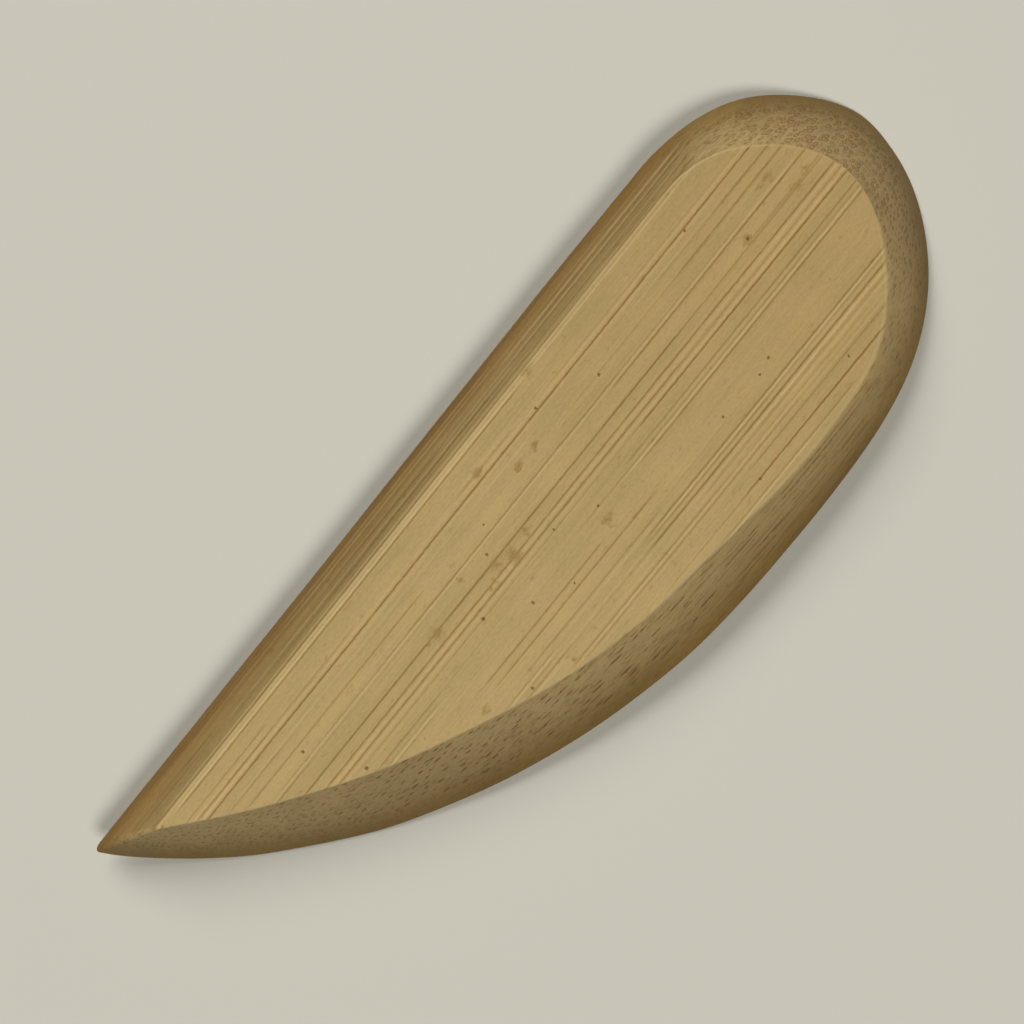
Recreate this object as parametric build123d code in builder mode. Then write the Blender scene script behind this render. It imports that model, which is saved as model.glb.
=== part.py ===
from build123d import *
from math import cos, radians, sin, sqrt, tan
import os

# Pottery rib: one strip of thick bamboo culm wall, all sizes in millimetres and degrees.
# X runs along the grain from the pointed tip (-X) to the round butt (+X), the straight
# spine is on +Y and the bowed belly on -Y. Z is up: the planed inner face of the culm
# wall is on top, the rounded skin of the culm is underneath, and the rib rests on z = 0.

# Culm wall
wall_thickness = 10.0
culm_radius = 75.0
crown_land_width = 12.2

# Edge of the planed face, read round from the tip: spine, butt, heel and belly. One more
# arc, the sweep, closes it.
spine_length = 113.6
butt_radius = 18.1
heel_radius = 13.0
belly_radius = 25.5

# Tilt of the spine and turn of each arc, the same at every height, which keeps the bevel smooth
spine_tilt_angle = 0.42
butt_angle = 84.6
heel_angle = 30.8
belly_angle = 59.3

# Foot of the bevel, in a plane a little below the culm's crown: how much more each radius of
# the face measures there, and how far its tip and its shoulder lie beyond those of the face
foot_depth = 1.0
butt_flare = 7.9
heel_flare = 5.0
belly_flare = 22.3
tip_reach = 14.7
tip_rise = 9.4
shoulder_reach = 2.9

# Swell of the bevel halfway up, half the angle between its sides at the tip, and eased edges
bevel_swell = 0.8
tip_half_angle = 25.6
nose_radius = 1.5
rim_edge_radius = 0.35
face_edge_radius = 0.3

# Fineness of the mesh on which the middle of the rib is measured
measuring_tolerance = 0.01

arc_angles = (butt_angle, heel_angle, belly_angle)
face_radii = (butt_radius, heel_radius, belly_radius)
arc_flares = (butt_flare, heel_flare, belly_flare)


def outline(height, tip, length, radii):
    """Outline of the rib at one height: spine, butt, heel, belly, and the sweep to the tip."""
    along_spine = Vector(cos(radians(spine_tilt_angle)), sin(radians(spine_tilt_angle)))
    with BuildSketch(Plane.XY.offset(height)) as section:
        with BuildLine():
            edge = Line(tip, tip + along_spine * length)
            for radius, angle in zip(radii, arc_angles):
                edge = JernArc(edge @ 1, edge % 1, radius, -angle)
            TangentArc(edge @ 1, tip, tangent=edge % 1)
        make_face()
    return section.sketch


# The bevel's foot, and its waist, halfway up and out from the mean of the two by the swell
face_tip = Vector(0, 0)
foot_tip = Vector(-tip_reach, tip_rise)
foot_length = spine_length + tip_reach + shoulder_reach
foot_radii = [radius + flare for radius, flare in zip(face_radii, arc_flares)]
waist_height = (wall_thickness - foot_depth) / 2
swell_reach = bevel_swell / tan(radians(tip_half_angle))
waist_tip = (face_tip + foot_tip) / 2 + Vector(-swell_reach, bevel_swell)
waist_length = (spine_length + foot_length) / 2 + swell_reach
waist_radii = [radius + flare / 2 + bevel_swell for radius, flare in zip(face_radii, arc_flares)]

foot = outline(-foot_depth, foot_tip, foot_length, foot_radii)
waist = outline(waist_height, waist_tip, waist_length, waist_radii)
face = outline(wall_thickness, face_tip, spine_length, face_radii)

# Round outside of the culm: its axis runs along the grain over the middle of the width, and
# sanding took the crown down to a narrow land at z = 0
half_land = crown_land_width / 2
culm_axis_height = sqrt(culm_radius**2 - half_land**2)
foot_box = foot.bounding_box()
with BuildSketch(Plane.YZ.offset(foot_box.min.X)) as culm_round:
    with Locations((waist.bounding_box().center().Y, culm_axis_height)):
        Circle(culm_radius)

# The blade as it is carved: bevelled all round, rounded underneath, its edges eased
with BuildPart() as carved:
    loft(sections=[foot, waist, face])
    risers = carved.edges().filter_by_position(Axis.Z, 0, wall_thickness, inclusive=(False, False))
    fillet(risers.sort_by(Axis.X)[0], nose_radius)
    extrude(culm_round.sketch, amount=foot_box.size.X, mode=Mode.INTERSECT)
    fillet(carved.faces().filter_by(GeomType.CYLINDER).edges(), rim_edge_radius)
    fillet(carved.faces().sort_by(Axis.Z)[-1].edges(), face_edge_radius)
    split(bisect_by=Plane.XY, keep=Keep.TOP)

# The same blade, moved so that the origin lies under the middle of its length and width
measured, _ = carved.part.tessellate(measuring_tolerance)
middle_x = (min(point.X for point in measured) + max(point.X for point in measured)) / 2
middle_y = (min(point.Y for point in measured) + max(point.Y for point in measured)) / 2
with BuildPart() as rib_blade:
    with Locations((-middle_x, -middle_y)):
        add(carved.part)
rib_blade.part.label = "rib_blade"

os.makedirs("parts", exist_ok=True)
export_step(rib_blade.part, "parts/rib_blade.step")
size = rib_blade.part.bounding_box().size
print(f"rib_blade {size.X:.2f} x {size.Y:.2f} x {size.Z:.2f} mm")
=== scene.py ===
from math import cos, radians, sin

import bpy
import numpy as np
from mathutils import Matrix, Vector, noise


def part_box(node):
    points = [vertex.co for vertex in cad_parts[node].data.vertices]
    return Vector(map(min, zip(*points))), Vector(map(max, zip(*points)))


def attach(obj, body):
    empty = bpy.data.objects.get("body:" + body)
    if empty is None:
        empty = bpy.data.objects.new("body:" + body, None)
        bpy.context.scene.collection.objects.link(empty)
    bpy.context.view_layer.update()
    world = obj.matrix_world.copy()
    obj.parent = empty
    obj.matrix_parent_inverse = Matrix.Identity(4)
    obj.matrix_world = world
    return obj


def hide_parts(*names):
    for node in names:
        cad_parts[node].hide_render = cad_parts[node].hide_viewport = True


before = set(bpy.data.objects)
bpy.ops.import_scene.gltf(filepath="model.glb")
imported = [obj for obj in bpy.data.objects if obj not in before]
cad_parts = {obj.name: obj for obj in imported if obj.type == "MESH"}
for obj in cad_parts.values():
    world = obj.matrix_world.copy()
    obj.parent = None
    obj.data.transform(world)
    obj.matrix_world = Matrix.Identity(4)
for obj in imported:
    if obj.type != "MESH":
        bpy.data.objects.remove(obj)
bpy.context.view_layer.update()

# The pottery rib is one strip of thick bamboo culm wall. Sizes are millimetres and degrees, in the
# frame of the CAD model: X along the grain from the tip to the butt, the spine on +Y, Z up.
MM = 0.001
lowest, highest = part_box("rib_blade")
wall_thickness = (highest.z - lowest.z) / MM

# Outline of the planed face, and how much more each size measures at the foot of the bevel
spine_length = 113.6
arc_radii = (18.1, 13.0, 25.5)
arc_angles = (84.6, 30.8, 59.3)
spine_tilt_angle = 0.42
foot_depth = 1.0
arc_flares = (7.9, 5.0, 22.3)
tip_reach = 14.7
tip_rise = 9.4
shoulder_reach = 2.9
bevel_swell = 0.8
tip_half_angle = 25.6

# Round outside of the culm, and the land on its crown
culm_radius = 75.0
crown_land_width = 12.2
land_blend = 0.04

# Eased edges: radius of the tip at rim and face, and how far each rounding reaches from its corner
rim_nose_radius = 1.3
face_nose_radius = 0.3
rim_leg = 0.8
face_leg = 0.16
soft_face_leg = 0.75

# How high up the bevel the rim's rounding reaches, as a share of its leg
rim_leg_rise = 0.75

# The lower facet that was cut along the spine: the share of the height where it ends, how far it
# stands out there, and how close to its crease the mesh has a ring on either side
facet_height_share = 0.33
facet_proud = 0.42
crease_half_width = 0.012

# Hand sanding: waves and ripples in the bevel. They grow from nothing at the rim and at the face,
# and are full a fifth of the way up and down.
sanding_growth = 5
wave_length = 11.0
wave_depth = 0.09
ripple_length = 3.5
ripple_depth = 0.02

# Where hand work left the edge out of true, at the rim and at the face: place round the edge, and
# how far out. The whole part of a place says the stretch: nose, spine, butt, heel, belly, sweep, nose.
# They follow the gaps that a measuring script found between the photograph's outline and the true one.
rim_touches = (
    (0.0, -0.15), (1.0, -0.25), (1.4, -0.32), (1.8, -0.15), (2.15, -0.38), (2.5, 0.1), (2.75, -0.2),
    (3.0, 0.22), (3.8, -0.22), (4.15, 0.3), (4.4, 0.25), (4.9, -0.35), (5.15, -0.15), (5.3, 0.5),
    (5.42, 0.15), (5.6, -0.7), (5.75, -0.65), (5.88, -0.1), (5.97, 0.35), (6.2, 0.1), (7.0, -0.15),
)
face_touches = (
    (0.0, 0.0), (1.0, 0.1), (1.7, -0.05), (2.0, -0.1), (2.35, 0.1), (2.6, 0.0), (2.9, 0.5), (4.0, 0.25),
    (4.4, 0.1), (4.75, 0.45), (5.03, 0.6), (5.12, 0.15), (5.19, -0.4), (5.28, -0.75), (5.36, -0.1),
    (5.47, 0.12), (5.63, -0.38), (5.72, -0.22), (5.82, -0.38), (5.95, -0.3), (6.3, 0.0), (7.0, 0.0),
)
touch_blur = 11

# Where the facet and the softer edge of the face start and end round the edge, and over how much of
# a stretch their ends fade
facet_stretch = (1.0, 1.93, 0.12)
soft_edge_stretch = (4.15, 5.12, 0.3)

# Fineness of the mesh: steps along nose, spine, butt, then heel, belly, sweep, nose, and across
station_steps = (8, 250, 90, 24, 84, 232, 8)
face_columns = 48
back_columns = 64
rounding_steps = 6
lower_steps = 9
upper_steps = 18


def stations():
    """Places round the edge, from the middle of the nose: whole part says which stretch, the rest how far."""
    places = [np.arange(steps) / steps + part for part, steps in enumerate(station_steps)]
    return np.concatenate(places)


places = stations()
stretch = places.astype(int)
along = places - stretch


def step_of_arc(heading, radius, turn):
    """X and Y of the step along an arc that starts at a heading and turns right."""
    x = radius * (np.sin(heading) - np.sin(heading - turn))
    y = radius * (np.cos(heading - turn) - np.cos(heading))
    return np.stack([x, y], axis=-1)


def right_of(heading):
    """Direction that points right of a heading."""
    return np.stack([np.sin(heading), -np.cos(heading)], axis=-1)


def ahead_of(heading):
    """Direction of a heading."""
    return np.stack([np.cos(heading), np.sin(heading)], axis=-1)


def outline(height):
    """Point and outward direction at each station, where height gives each station's own height."""
    face_share = (height + foot_depth) / (wall_thickness + foot_depth)
    foot_share = 1 - face_share
    swell = 4 * face_share * foot_share * bevel_swell
    swell_reach = swell / np.tan(radians(tip_half_angle))
    tip = np.stack([-tip_reach * foot_share - swell_reach, tip_rise * foot_share + swell], axis=-1)
    length = spine_length + (tip_reach + shoulder_reach) * foot_share + swell_reach
    start = np.full(len(height), radians(spine_tilt_angle))

    # Ends and headings of the straight spine and the three arcs
    point = tip + ahead_of(start) * length[:, None]
    heading = start
    arcs = []
    for radius, flare, angle in zip(arc_radii, arc_flares, arc_angles):
        arc_radius = radius + flare * foot_share + swell
        arc_turn = radians(angle)
        arcs.append((point, heading, arc_radius, arc_turn))
        point = point + step_of_arc(heading, arc_radius, arc_turn)
        heading = heading - arc_turn

    # The sweep back to the tip, and the rounding of the tip
    chord = tip - point
    turn = (2 * (heading - np.arctan2(chord[:, 1], chord[:, 0]))) % (2 * np.pi)
    sweep_radius = np.hypot(chord[:, 0], chord[:, 1]) / (2 * np.sin(turn / 2))
    nose_turn = (heading - turn - start) % (2 * np.pi)
    nose_radius = rim_nose_radius * foot_share + face_nose_radius * face_share
    nose_leg = nose_radius * np.tan(nose_turn / 2)
    sweep_part = 1 - nose_leg / (sweep_radius * turn)
    arcs.append((point, heading, sweep_radius, turn * sweep_part))

    # Each station takes the stretch that it is on
    travelled = nose_leg + (length - nose_leg) * along
    spine_point = tip + ahead_of(start) * travelled[:, None]
    points = np.where((stretch == 1)[:, None], spine_point, 0)
    headings = start.copy()
    for part, (arc_start, arc_heading, radius, angle) in enumerate(arcs, start=2):
        reached = arc_start + step_of_arc(arc_heading, radius, angle * along)
        points = np.where((stretch == part)[:, None], reached, points)
        headings = np.where(stretch == part, arc_heading - angle * along, headings)
    nose_share = np.where(stretch == 0, 0.5 + along / 2, along / 2)
    on_nose = (stretch == 0) | (stretch == 6)
    nose_heading = start + nose_turn * (1 - nose_share)
    centre = tip + ahead_of(start) * nose_leg[:, None] + right_of(start) * nose_radius[:, None]
    nose_point = centre - right_of(nose_heading) * nose_radius[:, None]
    points = np.where(on_nose[:, None], nose_point, points)
    headings = np.where(on_nose, nose_heading, headings)
    return points, -right_of(headings)


half_land = crown_land_width / 2
culm_axis_height = np.sqrt(culm_radius**2 - half_land**2)
waist_points, _ = outline(np.full(len(places), (wall_thickness - foot_depth) / 2))
culm_middle = (waist_points[:, 1].min() + waist_points[:, 1].max()) / 2


def back_height(y):
    """Height of the culm's outside at each y, flattened on the land by sanding."""
    outside = culm_axis_height - np.sqrt(culm_radius**2 - (y - culm_middle) ** 2)
    return (outside + np.sqrt(outside**2 + land_blend**2)) / 2


def window(value, start, end, blur):
    """1 between start and end, 0 outside, with soft ends."""
    rise = np.clip((value - start) / blur + 0.5, 0, 1)
    fall = np.clip((end - value) / blur + 0.5, 0, 1)
    return rise * rise * (3 - 2 * rise) * fall * fall * (3 - 2 * fall)


def sanding(points, depth, length):
    """Even unevenness of hand work, as an offset at each point."""
    return depth * np.array([noise.noise(Vector(point) / length) for point in points])


def touch(touches):
    """How far out the edge stands at each station, from a list of places, smoothed."""
    at, reach = zip(*touches)
    offsets = np.interp(places, at, reach)
    blur = np.hanning(2 * touch_blur + 1)
    wrapped = np.concatenate([offsets[-touch_blur:], offsets, offsets[:touch_blur]])
    return np.convolve(wrapped, blur / blur.sum(), mode="valid")


# Rim, where the bevel meets the outside of the culm, found closer in each round
rim_rounds = 20
rim_height = np.zeros(len(places))
for _ in range(rim_rounds):
    rim_points, outward = outline(rim_height)
    rim_height = back_height(rim_points[:, 1])
rim_touch = touch(rim_touches)
face_touch = touch(face_touches)
rim_points = rim_points + outward * rim_touch[:, None]
facet_weight = window(places, *facet_stretch)
face_reach = face_leg + (soft_face_leg - face_leg) * window(places, *soft_edge_stretch)


def bevel(share):
    """Points on the bevel at a share of the way up from the rim to the face."""
    height = rim_height + (wall_thickness - rim_height) * share
    flat_points, normal = outline(height)
    lower = np.minimum(share / facet_height_share, 1)
    upper = np.minimum((1 - share) / (1 - facet_height_share), 1)
    offset = facet_proud * np.minimum(lower, upper) * facet_weight
    points = np.column_stack([flat_points, height])
    offset = offset + rim_touch * (1 - share) + face_touch * share
    eased = np.minimum(np.minimum(share, 1 - share) * sanding_growth, 1)
    offset = offset + eased * sanding(points, wave_depth, wave_length)
    offset = offset + eased * sanding(points, ripple_depth, ripple_length)
    points[:, :2] += normal * offset[:, None]
    return points


def rounding(first, corner, last):
    """Rings that round a corner between two others, without the first."""
    rings = []
    for q in np.arange(1, rounding_steps + 1) / rounding_steps:
        rings.append(first * (1 - q) ** 2 + corner * 2 * q * (1 - q) + last * q**2)
    return rings


def rib_rings():
    """Rings of points from the edge of the back, round the rim, up the bevel and onto the face."""
    rim = np.column_stack([rim_points, back_height(rim_points[:, 1])])
    back_edge = rim.copy()
    back_edge[:, :2] -= outward * rim_leg
    back_edge[:, 2] = back_height(back_edge[:, 1])
    height = wall_thickness - rim_height
    low_share = (rim_leg_rise * rim_leg / height)[:, None]
    high_share = (1 - face_reach / height)[:, None]

    # Rings up the bevel, close together at the crease of the facet
    lower = np.linspace(0, facet_height_share, lower_steps, endpoint=False)
    upper = np.linspace(facet_height_share, 1, upper_steps)
    crease = [facet_height_share - crease_half_width, facet_height_share + crease_half_width]
    shares = np.sort(np.concatenate([lower, upper, crease]))
    steps = np.array([bevel(np.full(len(places), share)) for share in shares])

    def at(share):
        """Bevel points where each station has its own share."""
        place = np.clip(np.searchsorted(shares, share[:, 0]) - 1, 0, len(shares) - 2)
        part = ((share[:, 0] - shares[place]) / (shares[place + 1] - shares[place]))[:, None]
        index = np.arange(len(places))
        return steps[place, index] * (1 - part) + steps[place + 1, index] * part

    rings = [back_edge] + rounding(back_edge, rim, at(low_share))
    span = high_share - low_share
    for share in shares[1:-1]:
        rings.append(at(low_share + span * share))
    face_corner, face_outward = outline(np.full(len(places), wall_thickness))
    face_corner = face_corner + face_outward * face_touch[:, None]
    corner = np.column_stack([face_corner, np.full(len(places), wall_thickness)])
    face_edge = corner.copy()
    face_edge[:, :2] -= face_outward * face_reach[:, None]
    rings.append(at(high_share))
    rings += rounding(at(high_share), corner, face_edge)
    guard = face_edge.copy()
    guard[:, :2] -= face_outward * face_leg
    return rings + [guard]


def rung_points(ring, columns, height_of):
    """Points inside a ring, on straight rungs from its spine side to its belly side."""
    half = len(ring) // 2
    rungs = []
    for i in range(1, half):
        shares = (np.arange(1, columns) / columns)[:, None]
        points = ring[i] * (1 - shares) + ring[-i] * shares
        points[:, 2] = height_of(points[:, 1])
        rungs.append(points)
    return np.array(rungs)


def rung_faces(first_of_ring, first_inside, columns, count, upward):
    """Faces that fill a ring over its rungs, which start at the vertex first_inside."""
    half = count // 2

    def vertex(rung, column):
        """Number of a vertex, where columns count from the spine's side."""
        if column == 0:
            return first_of_ring + rung
        if column == columns:
            return first_of_ring + (count - rung) % count
        return first_inside + (rung - 1) * (columns - 1) + column - 1

    faces = []
    for column in range(columns):
        faces.append((first_of_ring, vertex(1, column), vertex(1, column + 1)))
        faces.append((first_of_ring + half, vertex(half - 1, column + 1), vertex(half - 1, column)))
        for rung in range(1, half - 1):
            near, far = vertex(rung, column), vertex(rung, column + 1)
            faces.append((near, vertex(rung + 1, column), vertex(rung + 1, column + 1), far))
    return faces if not upward else [face[::-1] for face in faces]


def make_rib():
    """The blade as one closed mesh: back, rim, bevel and planed face."""
    rings = rib_rings()
    count = len(places)
    face_inside = rung_points(rings[-1], face_columns, lambda y: np.full(len(y), wall_thickness))
    back_inside = rung_points(rings[0], back_columns, back_height)
    inside_face = count * len(rings)
    inside_back = inside_face + face_inside.size // 3
    points = np.concatenate([*rings, face_inside.reshape(-1, 3), back_inside.reshape(-1, 3)])
    faces = []
    for ring in range(len(rings) - 1):
        low, high = ring * count, (ring + 1) * count
        for i in range(count):
            after = (i + 1) % count
            faces.append((low + i, high + i, high + after, low + after))
    faces += rung_faces(inside_face - count, inside_face, face_columns, count, upward=True)
    faces += rung_faces(0, inside_back, back_columns, count, upward=False)
    middle = (points.min(axis=0) + points.max(axis=0)) / 2
    points[:, :2] -= middle[:2]
    mesh = bpy.data.meshes.new("rib")
    mesh.from_pydata((points * MM).tolist(), [], faces)
    mesh.validate()
    mesh.shade_smooth()
    rib = bpy.data.objects.new("rib", mesh)
    bpy.context.scene.collection.objects.link(rib)
    return rib, middle


rib, middle = make_rib()
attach(rib, "root")
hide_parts("rib_blade")


class Wiring:
    """Short calls for a material's nodes. An input is a number, a colour or another node's output."""

    def __init__(self, name):
        self.material = bpy.data.materials.new(name)
        self.material.use_nodes = True
        self.tree = self.material.node_tree
        self.shader = self.tree.nodes["Principled BSDF"]

    def node(self, kind, output, inputs, **settings):
        """Adds a node, sets it up, fills its inputs and returns one output."""
        made = self.tree.nodes.new(kind)
        for name, value in settings.items():
            setattr(made, name, value)
        for key, value in inputs.items():
            self.fill(made.inputs[key], value)
        return made.outputs[output]

    def fill(self, socket, value):
        """Links an output to a socket, or sets a plain value on it."""
        if isinstance(value, bpy.types.NodeSocket):
            self.tree.links.new(value, socket)
        else:
            socket.default_value = value

    def math(self, operation, a, b=0.0, c=0.0):
        return self.node("ShaderNodeMath", 0, {0: a, 1: b, 2: c}, operation=operation)

    def product(self, first, *others):
        """Product of numbers and outputs."""
        total = first
        for factor in others:
            total = self.math("MULTIPLY", total, factor)
        return total

    def vector(self, operation, a, b=(0.0, 0.0, 0.0)):
        return self.node("ShaderNodeVectorMath", 0, {0: a, 1: b}, operation=operation)

    def scaled(self, vector, factors):
        return self.vector("MULTIPLY", vector, factors)

    def part(self, vector, axis):
        return self.node("ShaderNodeSeparateXYZ", axis, {0: vector})

    def wander(self, value, share, reach):
        """A value moved by a share, which is 0.5 in the middle, times a reach."""
        return self.math("MULTIPLY_ADD", self.math("SUBTRACT", share, 0.5), reach, value)

    def smooth(self, value, low, high, to_low=0.0, to_high=1.0):
        """Soft step from to_low, where the value is low, to to_high, where it is high."""
        inputs = {"Value": value, "From Min": low, "From Max": high, "To Min": to_low, "To Max": to_high}
        return self.node("ShaderNodeMapRange", 0, inputs, interpolation_type="SMOOTHSTEP")

    def smooth_three(self, vector, low, high):
        """The same step to 1 for the three parts of a vector, each with its own limits."""
        inputs = {6: vector, 7: low, 8: high, 9: (0.0, 0.0, 0.0), 10: (1.0, 1.0, 1.0)}
        settings = {"data_type": "FLOAT_VECTOR", "interpolation_type": "SMOOTHSTEP"}
        return self.node("ShaderNodeMapRange", 1, inputs, **settings)

    def noise(self, vector, detail=2.0, roughness=0.5, output="Fac"):
        inputs = {"Vector": vector, "Scale": 1.0, "Detail": detail, "Roughness": roughness}
        return self.node("ShaderNodeTexNoise", output, inputs)

    def mix(self, share, first, second, blend="MIX"):
        """The first colour, mixed by a share with the second, or blended with it in another way."""
        inputs = {0: share, 6: first, 7: second}
        return self.node("ShaderNodeMix", 2, inputs, data_type="RGBA", blend_type=blend)


# Bundles that the planed face and the spine's bevel cut lengthwise. The dark fibre of each shows as a
# line: its place across where x is 0, its start and end along the grain, its strength. Places, ends
# and strengths follow what a measuring script printed of the photograph's brightness across the grain.
dark_lines = (
    (18.8, -62, 13, 0.65),
    (18.95, 16, 33, 0.2),
    (16.8, -64, -46, 0.4),
    (15.75, -62, -46, 0.7),
    (15.75, -46, -28, 0.35),
    (15.8, -4, 8, 0.45),
    (15.75, 16, 62, 0.22),
    (14.73, -62, 66, 0.95),
    (12.95, -58, -46, 0.4),
    (12.87, 34, 50, 0.25),
    (12.87, 50, 66, 0.6),
    (11.33, -56, -18, 0.5),
    (11.36, 16, 40, 0.3),
    (11.36, 40, 68, 0.65),
    (9.22, -50, -22, 0.3),
    (9.22, -22, 24, 0.6),
    (9.22, 24, 52, 0.25),
    (8.55, -56, -46, 0.5),
    (8.55, -46, -22, 0.2),
    (8.57, 22, 68, 0.75),
    (6.17, -50, 34, 0.85),
    (6.14, 34, 68, 0.45),
    (6.5, 50, 68, 0.4),
    (4.4, -50, 70, 0.8),
    (3.35, -46, 30, 0.75),
    (3.25, 30, 68, 0.42),
    (2.27, -42, -8, 0.38),
    (2.3, -8, 20, 0.25),
    (2.27, 20, 70, 0.95),
    (0.4, -40, -27, 0.42),
    (0.4, 15, 70, 0.52),
    (-0.33, 4, 68, 0.32),
    (-0.33, -40, -28, 0.3),
    (-1.02, 17, 70, 0.7),
    (-1.0, -40, -29, 0.35),
    (-3.9, -22, 4, 0.6),
    (-5.22, -20, 14, 0.65),
    (-7.3, -17, 12, 0.38),
    (-8.3, -22, -12, 0.4),
    (-8.3, 9, 66, 0.68),
    (-8.95, -18, -12, 0.35),
    (-8.95, 8, 34, 0.45),
    (-8.95, 34, 62, 0.2),
    (-9.7, -24, -11, 0.5),
    (-9.75, -12, 8, 0.2),
    (-9.72, 8, 66, 0.85),
    (-10.75, 18, 64, 0.32),
    (-11.75, -12, 22, 0.5),
    (-11.75, 22, 52, 0.25),
    (-12.45, -9, 36, 0.45),
    (-12.45, 36, 54, 0.2),
    (-13.45, 26, 60, 0.45),
    (-15.3, 4, 22, 0.3),
    (-15.25, 22, 56, 0.95),
    (-16.95, 12, 44, 0.45),
    (19.9, -64, -45, 0.3),
    (19.9, -45, 54, 0.7),
    (20.65, -12, 20, 0.3),
    (20.7, 20, 54, 0.6),
    (21.07, -48, 14, 0.4),
    (21.7, 3, 18, 0.25),
    (21.7, 18, 54, 0.6),
    (22.05, -48, 2, 0.2),
    (22.4, 22, 56, 0.45),
    (23.05, -54, 10, 0.3),
    (23.2, 18, 52, 0.3),
    (23.6, -34, 48, 0.16),
    (24.3, -62, -15, 0.3),
    (24.6, -15, 36, 0.35),
)

# The bare vessels beside them show as lighter lines, measured likewise: place, start, end, strength
light_lines = (
    (19.1, -62, 12, 0.95),
    (19.12, 12, 56, 0.6),
    (16.15, -64, -46, 0.35),
    (16.3, -3, 8, 0.35),
    (15.25, -62, -48, 0.8),
    (15.25, -48, -20, 0.4),
    (15.3, -20, 64, 0.3),
    (14.33, -44, 52, 0.2),
    (13.25, -56, 8, 0.36),
    (13.35, 32, 58, 0.24),
    (10.85, 44, 68, 0.2),
    (8.93, -54, 62, 0.5),
    (3.85, -46, 70, 0.42),
    (2.82, -46, 20, 0.38),
    (2.72, 20, 70, 0.6),
    (0.02, 16, 54, 0.2),
    (-0.66, -40, -28, 0.6),
    (-0.66, 14, 70, 0.7),
    (-7.85, -9, 13, 0.3),
    (-8.6, -22, -12, 0.6),
    (-8.62, 11, 66, 0.68),
    (-9.3, -15, 60, 0.25),
    (-10.2, -22, -12, 0.5),
    (-10.2, 4, 32, 0.3),
    (-10.22, 30, 66, 0.75),
    (-11.2, -17, 36, 0.2),
    (-11.2, 36, 64, 0.38),
    (-12.1, -9, 44, 0.32),
    (-12.85, -8, 56, 0.22),
    (-17.25, 13, 34, 0.75),
    (-17.25, 34, 44, 0.3),
    (20.17, -64, 20, 0.65),
    (20.2, 20, 38, 0.3),
    (20.9, 0, 52, 0.3),
    (21.48, -48, 15, 0.38),
    (21.95, 0, 54, 0.45),
    (22.6, -32, 15, 0.22),
    (22.7, 15, 54, 0.7),
    (23.35, -62, -30, 0.2),
    (23.33, -30, 2, 0.45),
    (23.4, 2, 48, 0.2),
    (23.9, -32, 12, 0.28),
    (24.3, 13, 34, 0.25),
)
line_half_width = 0.23
line_fade = 2.0

# The grain spreads a little towards the butt, from this line, by this share per millimetre
fan_middle = 5.0
fan = 0.0003

# Dark specks on the face, read off the photograph: place along and across, and radius
specks = (
    (-45.1, 10.2, 0.3),
    (-41.3, 1.8, 0.35),
    (12.7, 15.1, 0.3),
    (21.9, 11.3, 0.27),
    (-4.5, 10.5, 0.22),
    (-7.5, 7.5, 0.26),
    (1.1, 2.5, 0.28),
    (-14.8, 2.3, 0.36),
    (7.6, -0.2, 0.28),
    (-8.6, -1.7, 0.28),
    (-2.9, -4.5, 0.28),
    (-18.0, -9.2, 0.3),
    (24.8, -15.5, 0.28),
    (45.1, 14.6, 0.28),
    (28.3, -6.0, 0.2),
    (36.1, -6.3, 0.25),
    (38.7, -5.7, 0.32),
    (46.0, -14.3, 0.24),
    (49.8, 7.0, 0.34),
)

# Brown smudges on the face, read off too: place along and across, radius
smudges = (
    (-20.4, 5.9, 1.5),
    (-22.6, 5.8, 0.9),
    (-7.8, 5.4, 1.5),
    (-5.3, 4.6, 1.7),
    (-10.4, 4.2, 1.0),
    (-1.6, 5.4, 1.0),
    (-4.0, -14.6, 0.9),
    (-8.5, -15.0, 0.8),
    (7.0, -2.5, 1.3),
    (5.0, 11.9, 1.0),
    (8.6, 11.8, 0.9),
    (-12.7, 8.1, 0.9),
    (0.5, 15.7, 1.4),
    (-11.1, -10.9, 1.0),
    (-24.5, -6.0, 1.0),
    (16.0, 19.6, 1.5),
    (49.8, 7.0, 1.2),
    (58.3, 10.3, 1.0),
    (56.6, 10.1, 0.6),
    (60.0, 6.3, 1.2),
    (62.4, 6.9, 1.0),
)


def shown_lines(wires, x, y, lines):
    """How much of the lines of a list shows at each point, worked out for three lines at a time."""
    total = 0.0
    for first in range(0, len(lines), 3):
        three = lines[first:first + 3]
        three += ((0, 0, 0, 0),) * (3 - len(three))
        place, start, end, strength = (Vector(values) for values in zip(*three))
        fade = Vector((line_fade, line_fade, line_fade))
        width = (line_half_width, line_half_width, line_half_width)
        aside = wires.vector("ABSOLUTE", wires.vector("SUBTRACT", y, place))
        across = wires.smooth_three(aside, width, (0.04, 0.04, 0.04))
        beyond = wires.vector("ABSOLUTE", wires.vector("SUBTRACT", x, (start + end) / 2))
        within = wires.smooth_three(beyond, (end - start) / 2 + fade, (end - start) / 2 - fade)
        inputs = {0: wires.vector("MULTIPLY", across, within), 1: strength}
        shown = wires.node("ShaderNodeVectorMath", "Value", inputs, operation="DOT_PRODUCT")
        total = wires.math("ADD", shown, total)
    return total


def spots(wires, position, places_and_radii, core):
    """How much of a spot of the list shows at each point, from 0 to 1."""
    total = 0.0
    for x, y, radius in places_and_radii:
        inputs = {0: position, 1: (x, y, wall_thickness)}
        distance = wires.node("ShaderNodeVectorMath", "Value", inputs, operation="DISTANCE")
        total = wires.math("MAXIMUM", wires.smooth(distance, radius, radius * core), total)
    return total


# Bundles in the wall: how far apart, radius where they show as dots and as rings
bundle_spacing = 0.74
dot_radius = 0.17
ring_radius = 0.3


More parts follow.
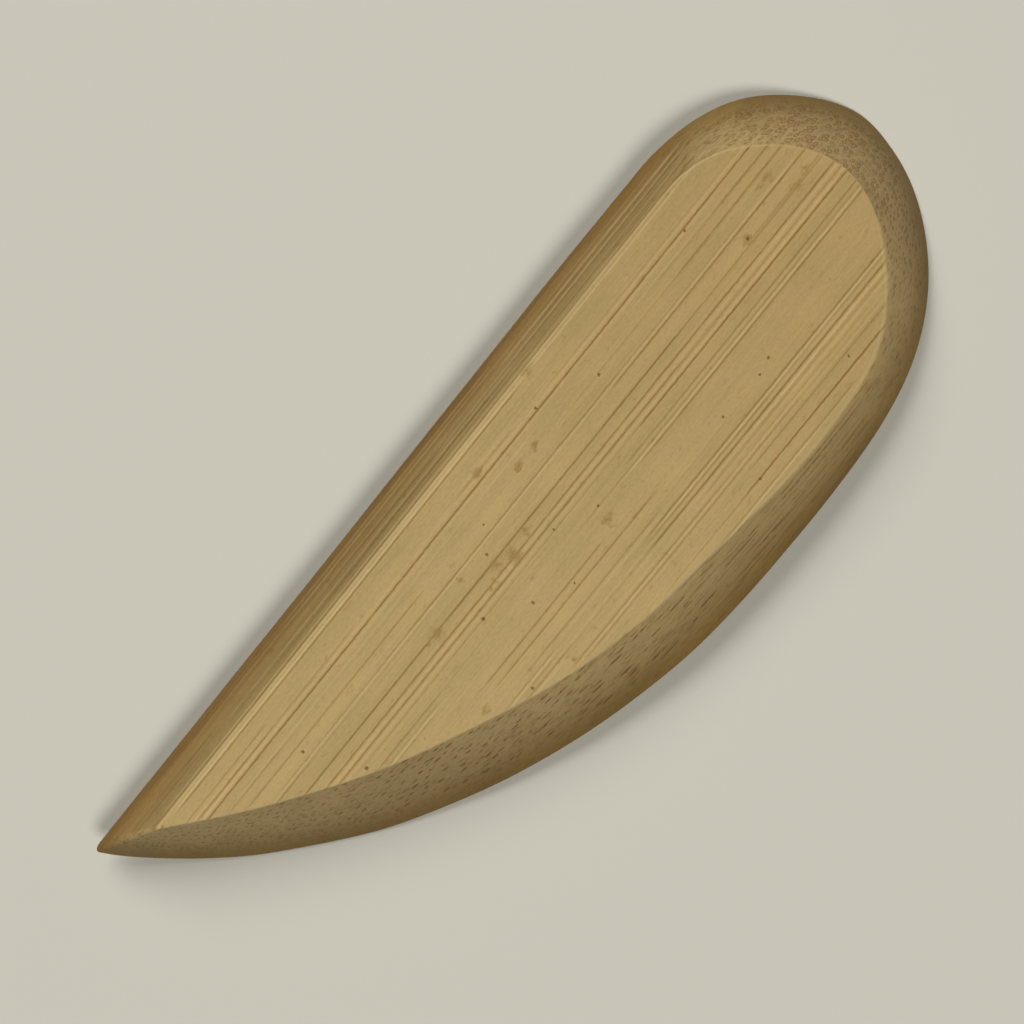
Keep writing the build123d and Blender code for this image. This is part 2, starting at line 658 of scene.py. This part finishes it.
def bundles(wires, aside, depth, ringed):
    """Bundles that run along the grain, as dark dots, or as rings of fibre round paler vessels."""
    cell = wires.node("ShaderNodeCombineXYZ", 0, {0: aside, 1: depth})
    inputs = {"Vector": cell, "Scale": 1 / bundle_spacing, "Randomness": 0.8}
    distance = wires.node("ShaderNodeTexVoronoi", "Distance", inputs, voronoi_dimensions="2D")
    chance = wires.part(distance.node.outputs["Color"], 0)
    other_chance = wires.part(distance.node.outputs["Color"], 1)
    radius = wires.math("MULTIPLY_ADD", ringed, ring_radius - dot_radius, dot_radius)
    radius = wires.product(radius, wires.math("MULTIPLY_ADD", chance, 0.5, 0.75))
    share = wires.math("DIVIDE", wires.product(distance, bundle_spacing), radius)
    inside = wires.smooth(share, 1.35, 0.65)
    core = wires.product(wires.smooth(share, 0.75, 0.2), ringed)
    shown = wires.math("MULTIPLY_ADD", core, -0.9, inside)
    return wires.product(shown, wires.smooth(other_chance, 0.0, 0.6, 0.35, 1.0))


class Place:
    """Where each point of the bamboo lies, as outputs that the parts of the material share."""

    def __init__(self, wires):
        self.wires = wires
        coordinates = wires.node("ShaderNodeTexCoord", "Object", {})
        normal = wires.node("ShaderNodeTexCoord", "Normal", {})
        self.position = wires.scaled(coordinates, (1 / MM, 1 / MM, 1 / MM))
        self.x, self.y, self.z = (wires.part(self.position, axis) for axis in range(3))
        self.normal_x = wires.part(normal, 0)
        self.normal_y = wires.part(normal, 1)
        self.off_face = wires.smooth(self.z, wall_thickness - 0.05, wall_thickness - 0.3)

        # How squarely the surface cuts across the grain
        self.cut_across = wires.math("ABSOLUTE", self.normal_x)

        # The grain fans out and wanders a little along its length
        from_fan = wires.math("SUBTRACT", self.y, fan_middle)
        spread = wires.math("MULTIPLY_ADD", self.x, fan, 1.0)
        self.grain_y = wires.math("ADD", wires.math("DIVIDE", from_fan, spread), fan_middle)
        slow = self.noise((0.02, 0.12, 0.12), detail=1.0, output="Color")
        self.slow_y = wires.part(slow, 0)
        self.slow_depth = wires.part(slow, 1)
        line_y = wires.wander(self.grain_y, self.slow_y, 0.2)
        self.line_y = wires.wander(line_y, self.noise((1.1, 0.8, 0.8), detail=2.0), 0.16)

        # Depth under the round skin of the culm
        from_axis_y = wires.math("SUBTRACT", self.y, culm_middle - middle[1])
        from_axis_z = wires.math("SUBTRACT", self.z, culm_axis_height)
        flat = wires.node("ShaderNodeCombineXYZ", 0, {0: from_axis_y, 1: from_axis_z})
        radial = wires.node("ShaderNodeVectorMath", "Value", {0: flat}, operation="LENGTH")
        self.depth = wires.math("SUBTRACT", culm_radius, radial)

    def noise(self, scales, **settings):
        """Noise in the bamboo, where scales say how fast it changes along X, Y and Z."""
        return self.wires.noise(self.wires.scaled(self.position, scales), **settings)

    def pushed(self, colour, reach):
        """Position moved by a colour, which is grey in the middle, times a reach."""
        push = self.wires.vector("SUBTRACT", colour, (0.5, 0.5, 0.5))
        return self.wires.vector("ADD", self.position, self.wires.scaled(push, reach))


def bevel_bundles(wires, place):
    """Bundles in the bevel: rings on the butt's upper half, dots elsewhere."""
    ringed = wires.product(wires.smooth(place.x, 48, 58), wires.smooth(place.y, -14, 4))
    bundle_y = wires.wander(place.grain_y, place.slow_y, 1.0)
    bundle_depth = wires.wander(place.depth, place.slow_depth, 1.0)
    shown = bundles(wires, bundle_y, bundle_depth, ringed)

    # Fainter close under the skin, where the bevel runs along them, most of all on the spine's side,
    # and towards the tip and the butt
    under_skin = wires.smooth(place.depth, 1.4, 3.4)
    cut_along = wires.smooth(place.cut_across, 0.0, 0.12, 0.6, 1.0)
    on_spine = wires.product(wires.smooth(place.cut_across, 0.35, 0.1), wires.smooth(place.y, 12, 18))
    off_spine = wires.math("MULTIPLY_ADD", on_spine, -0.85, 1.0)
    at_tip = wires.smooth(place.x, -62, -30, 0.55, 1.0)
    at_butt = wires.math("MULTIPLY_ADD", ringed, 0.25, wires.smooth(place.x, 28, 46, 1.0, 0.6))

    # Gaps along them, though not where the bevel cuts across them
    gaps = wires.smooth(place.noise((0.8, 1.3, 1.3), detail=1.0), 0.4, 0.52, 0.25, 1.0)
    gaps = wires.math("MAXIMUM", gaps, wires.smooth(place.cut_across, 0.3, 0.5))
    shown = wires.product(shown, under_skin, cut_along, off_spine, at_tip, at_butt, gaps)
    return wires.product(shown, place.off_face)


def fine_fibres(wires, place):
    """Fibres like hairs, which show best on a bevel that cuts them lengthwise."""
    hairs = place.noise((0.03, 3.2, 3.2), detail=2.0, roughness=0.6)
    share = wires.product(wires.smooth(place.cut_across, 0.35, 0.06, 0.2, 0.36), place.off_face)
    return wires.product(wires.smooth(hairs, 0.5, 0.68), wires.math("ADD", share, 0.1))


def grain_lines(wires, place):
    """Dark and light lines of the face and of the spine's bevel, which vary along their length."""
    on_face = wires.smooth(place.z, wall_thickness - 0.35, wall_thickness - 0.05)
    on_spine = wires.product(wires.smooth(place.z, 3.8, 4.6), wires.smooth(place.y, 18.6, 19.2), 0.75)
    broken = place.noise((0.35, 1.5, 1.5), detail=4.0, roughness=0.7)
    strokes = wires.math("MAXIMUM", on_face, on_spine)
    strokes = wires.product(strokes, wires.smooth(broken, 0.2, 0.6, 0.5, 1.1))
    dark = shown_lines(wires, place.x, place.line_y, dark_lines)
    light = shown_lines(wires, place.x, place.line_y, light_lines)
    return wires.product(dark, strokes), wires.product(light, strokes)


def face_marks(wires, place):
    """Specks and smudges of the face, with uneven edges."""
    ragged = place.noise((1.8, 2.4, 0.0), detail=3.0, output="Color")
    speck = spots(wires, place.pushed(ragged, (0.7, 0.5, 0.0)), specks, 0.5)
    blurred = place.noise((0.8, 1.1, 0.0), detail=1.0, output="Color")
    smudge = spots(wires, place.pushed(blurred, (3.2, 1.8, 0.0)), smudges, 0.1)
    patches = place.noise((1.3, 2.6, 0.5), detail=3.0)
    return speck, wires.product(smudge, wires.smooth(patches, 0.25, 0.6, 0.5, 1.4))


def tissue_tone(wires, place, fibres, mottle):
    """Tone of the ground tissue: bands and fibres along the grain, clouds and fine mottle."""
    tone = wires.wander(1.0, place.noise((0.012, 0.42, 0.42), detail=2.0), 0.26)
    tone = wires.wander(tone, fibres, 0.3)
    tone = wires.wander(tone, place.noise((0.1, 0.16, 0.16), detail=3.0), 0.22)
    tone = wires.wander(tone, mottle, 0.38)
    return wires.node("ShaderNodeCombineXYZ", 0, {0: tone, 1: tone, 2: tone})


# Ground tissue: pale and golden on the face, a little redder towards the butt, and browner down the
# bevel towards the skin
face_colour = (0.413, 0.290, 0.112, 1.0)
butt_face_colour = (0.394, 0.270, 0.101, 1.0)
inner_colour = (0.402, 0.285, 0.117, 1.0)
middle_colour = (0.313, 0.213, 0.078, 1.0)
outer_colour = (0.202, 0.119, 0.025, 1.0)


def ground_colour(wires, place):
    """Colour of the ground tissue on the face, and on the bevel by its depth in the wall."""
    bevel_colour = wires.mix(wires.smooth(place.depth, 0.6, 5.0), outer_colour, middle_colour)
    bevel_colour = wires.mix(wires.smooth(place.depth, 3.4, 8.2), bevel_colour, inner_colour)
    face = wires.mix(wires.smooth(place.x, -15, 55), face_colour, butt_face_colour)
    return wires.mix(place.off_face, face, bevel_colour)


# What the sides of the bevel multiply that colour by: painted shade on the belly's side, painted light on the
# butt's top, and painted shade with end grain's greyer tone on the tip and the butt end. The spine's is more
# golden, with painted shade.
low_spine_tint_and_painted_shade = (0.92, 0.83, 0.68, 1.0)
high_spine_tint_and_painted_shade = (0.76, 0.72, 0.63, 1.0)
belly_painted_shade = (0.90, 0.90, 0.92, 1.0)
tip_grain_and_painted_shade = (0.86, 0.87, 0.89, 1.0)
butt_top_painted_light = (1.05, 1.05, 1.07, 1.0)
butt_end_grain_and_painted_shade = (0.84, 0.83, 0.86, 1.0)


def paint_side_shade_and_light(wires, place, colour, spine_side):
    """Colour with painted shade and light by the side of the bevel that it is on."""
    spine_tint_and_painted_shade = wires.mix(wires.smooth(place.depth, 2.0, 6.0), low_spine_tint_and_painted_shade, high_spine_tint_and_painted_shade)
    colour = wires.mix(spine_side, colour, spine_tint_and_painted_shade, "MULTIPLY")
    butt_top = wires.product(wires.smooth(place.y, -4, 10), wires.smooth(place.depth, 2.5, 5.5))
    butt_top = wires.product(butt_top, wires.smooth(place.normal_x, 0.1, 0.45))
    sides = (
        (wires.smooth(place.normal_y, -0.2, -0.5), belly_painted_shade),
        (wires.smooth(place.normal_x, -0.08, -0.38), tip_grain_and_painted_shade),
        (butt_top, butt_top_painted_light),
        (wires.smooth(place.normal_x, 0.38, 0.66), butt_end_grain_and_painted_shade),
    )
    for share, shade in sides:
        colour = wires.mix(wires.product(share, place.off_face), colour, shade, "MULTIPLY")
    return colour


def painted_edge_highlight(wires, place, spine_side):
    """Share of the eased edge of the face that gets a painted highlight, which is paler, though not along the
    spine.
    """
    above = wires.smooth(place.z, wall_thickness - 0.28, wall_thickness - 0.1)
    below = wires.smooth(place.z, wall_thickness - 0.005, wall_thickness - 0.04)
    return wires.product(above, below, wires.math("MULTIPLY_ADD", spine_side, -0.3, 0.3))


# What fibres, bundles, flecks and dark lines multiply the colour by
hair_shade = (0.50, 0.36, 0.15, 1.0)
bundle_shade = (0.55, 0.43, 0.26, 1.0)
fleck_shade = (0.78, 0.70, 0.55, 1.0)
line_shade = (0.58, 0.45, 0.21, 1.0)

# Colours that are mixed in: light lines, smudges, specks, the painted highlight on the face's edge, and the
# skin's streaks
vessel_colour = (0.64, 0.50, 0.24, 1.0)
smudge_colour = (0.28, 0.175, 0.045, 1.0)
speck_colour = (0.135, 0.066, 0.006, 1.0)
edge_highlight_colour = (0.56, 0.42, 0.20, 1.0)
dark_skin_colour = (0.30, 0.19, 0.06, 1.0)
pale_skin_colour = (0.40, 0.27, 0.10, 1.0)


def bamboo():
    """Bare sanded bamboo: solid grain, so that every cut through it shows the bundles as it would."""
    wires = Wiring("bamboo")
    place = Place(wires)
    bundle = bevel_bundles(wires, place)
    hair = fine_fibres(wires, place)
    dark, light = grain_lines(wires, place)
    speck, smudge = face_marks(wires, place)
    flecks = place.noise((0.45, 0.9, 0.9), detail=5.0, roughness=0.75)
    fibres = place.noise((0.08, 3.6, 3.6), detail=3.0, roughness=0.65)
    mottle = place.noise((1.4, 2.6, 2.6), detail=3.0, roughness=0.7)
    spine_side = wires.product(wires.smooth(place.normal_y, 0.3, 0.6), place.off_face)
    spine_side = wires.product(spine_side, wires.smooth(place.cut_across, 0.3, 0.1))

    # Painted shade and light on the sides of the bevel, over the ground colour
    body = paint_side_shade_and_light(wires, place, ground_colour(wires, place), spine_side)
    body = wires.mix(1.0, body, tissue_tone(wires, place, fibres, mottle), "MULTIPLY")
    body = wires.mix(hair, body, hair_shade, "MULTIPLY")
    body = wires.mix(bundle, body, bundle_shade, "MULTIPLY")
    body = wires.mix(wires.smooth(flecks, 0.56, 0.74), body, fleck_shade, "MULTIPLY")
    body = wires.mix(dark, body, line_shade, "MULTIPLY")
    body = wires.mix(wires.product(light, 0.45), body, vessel_colour)
    body = wires.mix(wires.product(smudge, 0.7), body, smudge_colour)
    body = wires.mix(wires.product(speck, 0.9), body, speck_colour)
    # Painted highlight along the eased edge of the face, not on the spine
    body = wires.mix(painted_edge_highlight(wires, place, spine_side), body, edge_highlight_colour)

    # The skin of the culm, left on beside the land underneath
    skin_lines = place.noise((0.03, 2.2, 2.2), detail=4.0, roughness=0.7)
    skin_colour = wires.mix(wires.smooth(skin_lines, 0.3, 0.7), dark_skin_colour, pale_skin_colour)
    skin = wires.smooth(place.depth, 0.16, 0.06)
    wires.fill(wires.shader.inputs["Base Color"], wires.mix(skin, body, skin_colour))

    # Satin where planed and sanded, glossier on the skin
    rough = wires.math("MULTIPLY_ADD", wires.math("SUBTRACT", fibres, 0.5), 0.2, 0.5)
    rough = wires.math("MULTIPLY_ADD", skin, -0.18, rough)
    rough = wires.math("MULTIPLY_ADD", bundle, 0.12, rough)
    wires.fill(wires.shader.inputs["Roughness"], rough)
    wires.shader.inputs["Specular IOR Level"].default_value = 0.25

    # The marks lie a little lower than the ground, which is uneven
    relief = wires.product(mottle, 0.5)
    for mark in (bundle, hair, dark):
        relief = wires.math("MULTIPLY_ADD", mark, -0.5, relief)
    inputs = {"Strength": 0.4, "Distance": 0.08 * MM, "Height": relief}
    wires.fill(wires.shader.inputs["Normal"], wires.node("ShaderNodeBump", "Normal", inputs))
    return wires.material


rib.data.materials.append(bamboo())


# Floor and lamps are so large and far away that they are in metres
floor_half_side = 3.0
floor_colour = (0.56, 0.54, 0.46, 1.0)


def make_floor():
    """Plain pale table top under the rib."""
    corners = [(-1, -1, 0), (1, -1, 0), (1, 1, 0), (-1, 1, 0)]
    mesh = bpy.data.meshes.new("floor")
    mesh.from_pydata([Vector(corner) * floor_half_side for corner in corners], [], [(0, 1, 2, 3)])
    floor = bpy.data.objects.new("floor", mesh)
    bpy.context.scene.collection.objects.link(floor)
    wires = Wiring("floor_paint")
    wires.shader.inputs["Base Color"].default_value = floor_colour
    wires.shader.inputs["Roughness"].default_value = 0.8
    mesh.materials.append(wires.material)


lamp_distance = 3.0


def make_lamp(name, size, energy, from_above, azimuth):
    """Soft round lamp some metres away, at an angle from straight above and a bearing from +X."""
    lamp = bpy.data.lights.new(name, "AREA")
    lamp.shape = "DISK"
    lamp.size = size
    lamp.energy = energy
    aside = sin(radians(from_above))
    across = (aside * cos(radians(azimuth)), aside * sin(radians(azimuth)))
    holder = bpy.data.objects.new(name, lamp)
    holder.location = Vector((*across, cos(radians(from_above)))) * lamp_distance
    holder.rotation_euler = (-holder.location).to_track_quat("-Z", "Y").to_euler()
    bpy.context.scene.collection.objects.link(holder)


# Surround: its colour, and its strength as a light and where it is seen
surround_colour = (1.0, 0.97, 0.86, 1.0)
surround_light = 0.04
surround_seen = 0.55


def make_surround():
    """Surround that is pale where it is seen, straight or in a reflection, and faint as a light."""
    world = bpy.data.worlds.new("surround")
    bpy.context.scene.world = world
    world.use_nodes = True
    nodes, links = world.node_tree.nodes, world.node_tree.links
    background = nodes["Background"]
    background.inputs["Color"].default_value = surround_colour
    path = nodes.new("ShaderNodeLightPath")
    seen = path.outputs["Is Camera Ray"]
    for ray in ("Is Glossy Ray", "Is Transmission Ray"):
        either = nodes.new("ShaderNodeMath")
        either.operation = "MAXIMUM"
        links.new(seen, either.inputs[0])
        links.new(path.outputs[ray], either.inputs[1])
        seen = either.outputs[0]
    strength = nodes.new("ShaderNodeMapRange")
    strength.inputs["To Min"].default_value = surround_light
    strength.inputs["To Max"].default_value = surround_seen
    links.new(seen, strength.inputs["Value"])
    links.new(strength.outputs[0], background.inputs["Strength"])


# Camera: place, turn about Z, sensor and lens
camera_place = (-0.65, 8.57, 350.0)
camera_turn = -51.0
camera_sensor_width = 36.0
camera_focal_length = 85.5


def make_camera():
    """Camera straight above the rib, turned so that the tip points to the lower left."""
    camera = bpy.data.cameras.new("camera")
    camera.sensor_width = camera_sensor_width
    camera.lens = camera_focal_length
    holder = bpy.data.objects.new("camera", camera)
    holder.location = Vector(camera_place) * MM
    holder.rotation_euler = (0.0, 0.0, radians(camera_turn))
    bpy.context.scene.collection.objects.link(holder)
    bpy.context.scene.camera = holder


make_floor()
make_surround()

# One lamp high over the belly near the tip, and a broader one on the spine's side
make_lamp("belly_lamp", size=1.35, energy=53, from_above=33, azimuth=-123)
make_lamp("spine_lamp", size=2.0, energy=69, from_above=46, azimuth=68)
make_camera()
bpy.context.scene.view_settings.view_transform = "Standard"
